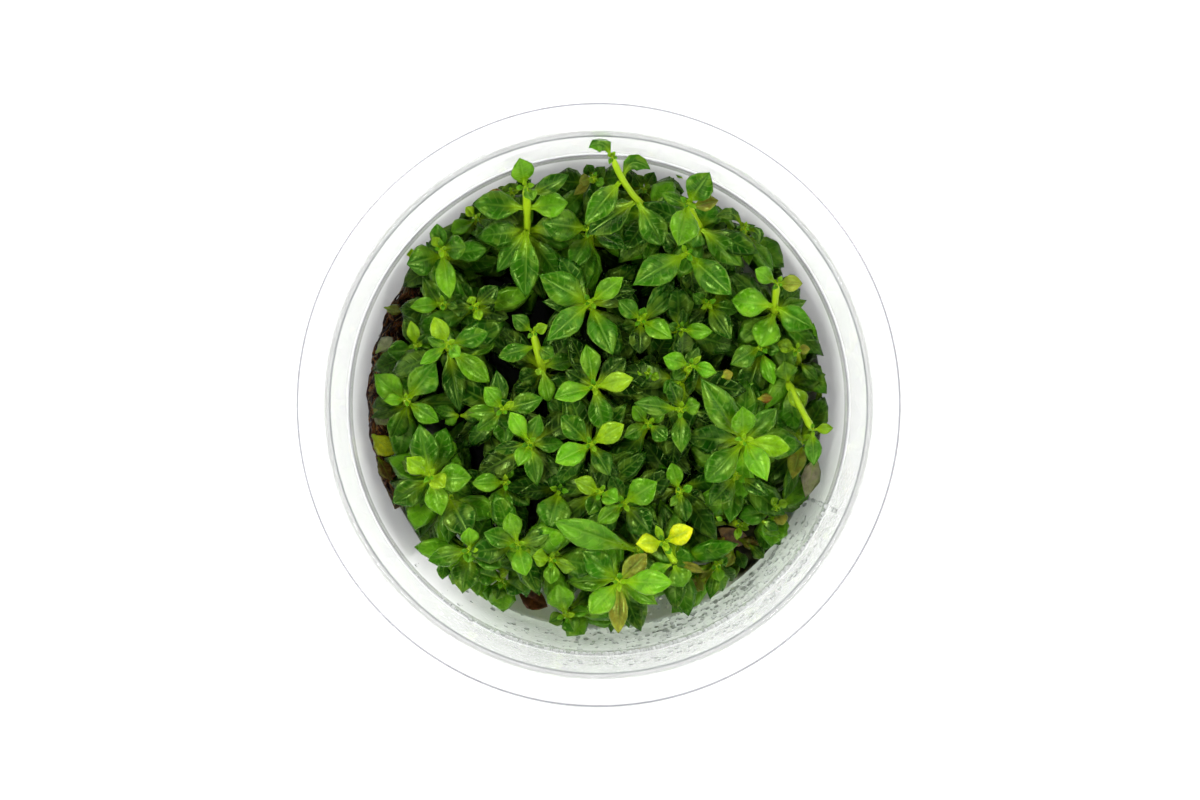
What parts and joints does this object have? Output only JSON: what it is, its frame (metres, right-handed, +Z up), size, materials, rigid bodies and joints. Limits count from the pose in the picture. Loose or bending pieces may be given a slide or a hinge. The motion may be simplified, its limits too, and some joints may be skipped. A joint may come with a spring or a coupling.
{
  "type": "ludwigia repens in culture cup",
  "caption": "Young Ludwigia repens shoots rooted in pale gel inside a low clear flanged culture cup with a blank wrapped label, an aquarium plant that stands on any flat surface.",
  "frame": {"origin": "middle of the cup's foot, where it stands", "axes": "+Z up out of the cup, +Y towards the top edge of the picture, +X to its right"},
  "size_m": [0.0998, 0.0998, 0.05],
  "materials": {
    "cup": "clear smooth thin moulding",
    "label": "satin white film",
    "gel": "wet, cloudy and pale",
    "root_mat": "rough brown roots",
    "old_leaf": "withered, matt",
    "shoot": "fresh waxy leaf"
  },
  "bodies": {
    "root": {"cup": "cup", "label": "label", "gel": "gel", "root_mat": "root_mat", "old_leaf_1": "old_leaf", "old_leaf_2": "old_leaf", "shoot_01": "shoot", "shoot_02": "shoot", "shoot_03": "shoot", "shoot_04": "shoot", "shoot_05": "shoot", "shoot_06": "shoot", "shoot_07": "shoot", "shoot_08": "shoot", "shoot_09": "shoot", "shoot_10": "shoot", "shoot_11": "shoot", "shoot_12": "shoot", "shoot_13": "shoot", "shoot_14": "shoot", "shoot_15": "shoot", "shoot_16": "shoot", "shoot_17": "shoot", "shoot_18": "shoot", "shoot_19": "shoot", "shoot_20": "shoot", "shoot_21": "shoot", "shoot_22": "shoot", "shoot_23": "shoot", "shoot_24": "shoot", "shoot_25": "shoot", "shoot_26": "shoot", "shoot_27": "shoot", "shoot_28": "shoot", "shoot_29": "shoot", "shoot_30": "shoot", "shoot_31": "shoot", "shoot_32": "shoot", "shoot_33": "shoot", "shoot_34": "shoot", "shoot_35": "shoot", "shoot_36": "shoot", "shoot_37": "shoot", "shoot_38": "shoot", "shoot_39": "shoot", "shoot_40": "shoot", "shoot_41": "shoot", "shoot_42": "shoot", "shoot_43": "shoot", "shoot_44": "shoot", "shoot_45": "shoot", "shoot_46": "shoot", "shoot_47": "shoot", "shoot_48": "shoot", "shoot_49": "shoot", "shoot_50": "shoot", "shoot_51": "shoot", "shoot_52": "shoot", "shoot_53": "shoot", "shoot_54": "shoot"}
  },
  "joints": []
}
